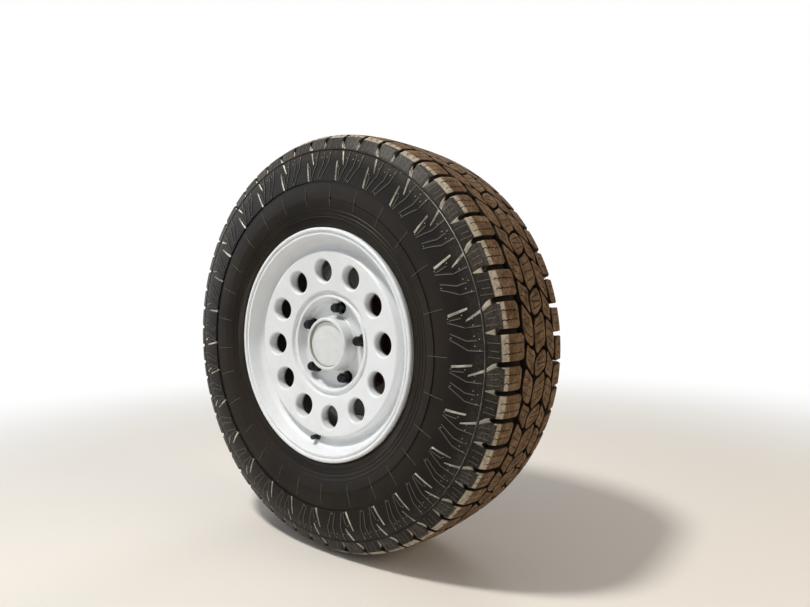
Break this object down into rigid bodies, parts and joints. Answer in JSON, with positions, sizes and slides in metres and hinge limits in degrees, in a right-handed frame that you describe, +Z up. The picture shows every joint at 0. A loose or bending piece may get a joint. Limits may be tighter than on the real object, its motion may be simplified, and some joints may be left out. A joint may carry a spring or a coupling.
{
  "type": "off-road vehicle front wheel with hub, disc brake and stub axle",
  "caption": "White off-road road wheel with round vent holes and an all-terrain tyre, turning on a hub and stub axle with a disc brake",
  "frame": {"origin": "centre of the stub axle's bolting face, on the spin axis; the wheel's centre plane is 115 mm towards -Y", "axes": "Y is the spin axis, and -Y is the outer side of the vehicle, where the wheel's face looks; +X is the vehicle's rear, as this is a left wheel; +Z is up"},
  "size_m": [0.849, 0.268, 0.8493],
  "materials": {
    "tyre_rubber": "black rubber, tan dust on the tread",
    "white_paint": "gloss white paint on cast aluminium",
    "white_plastic": "gloss white moulded plastic",
    "black_steel": "black plated steel",
    "valve_rubber": "black rubber",
    "black_plastic": "black moulded plastic",
    "zinc": "zinc plated steel",
    "brake_iron": "grey cast iron with light brown rust",
    "forged_steel": "forged steel, oiled and dusty",
    "bearing_steel": "machined steel",
    "pad_lining": "pressed lining on painted steel plates"
  },
  "bodies": {
    "stub_axle_assembly": {"stub_axle": "forged_steel", "spindle_nut": "bearing_steel", "wheel_bearings": "bearing_steel", "dust_shield": "zinc", "brake_pads": "pad_lining", "caliper_bracket": "brake_iron", "caliper": "brake_iron", "guide_pins": "bearing_steel", "bracket_bolts": "bearing_steel"},
    "wheel_assembly": {"wheel": "white_paint", "tyre": "tyre_rubber", "centre_cap": "white_plastic", "cap_plate": "white_plastic", "lug_nut_1": "black_steel", "lug_nut_2": "black_steel", "lug_nut_3": "black_steel", "lug_nut_4": "black_steel", "lug_nut_5": "black_steel", "valve_stem": "valve_rubber", "valve_cap": "black_plastic", "balance_weights": "zinc", "brake_disc": "brake_iron", "hub": "forged_steel", "drive_flange": "forged_steel"}
  },
  "joints": [
    {"name": "wheel_spin", "type": "hinge", "parent": "stub_axle_assembly", "child": "wheel_assembly", "pos_m": [0, -0.115, 0], "axis": [0, 1, 0], "continuous": true}
  ]
}
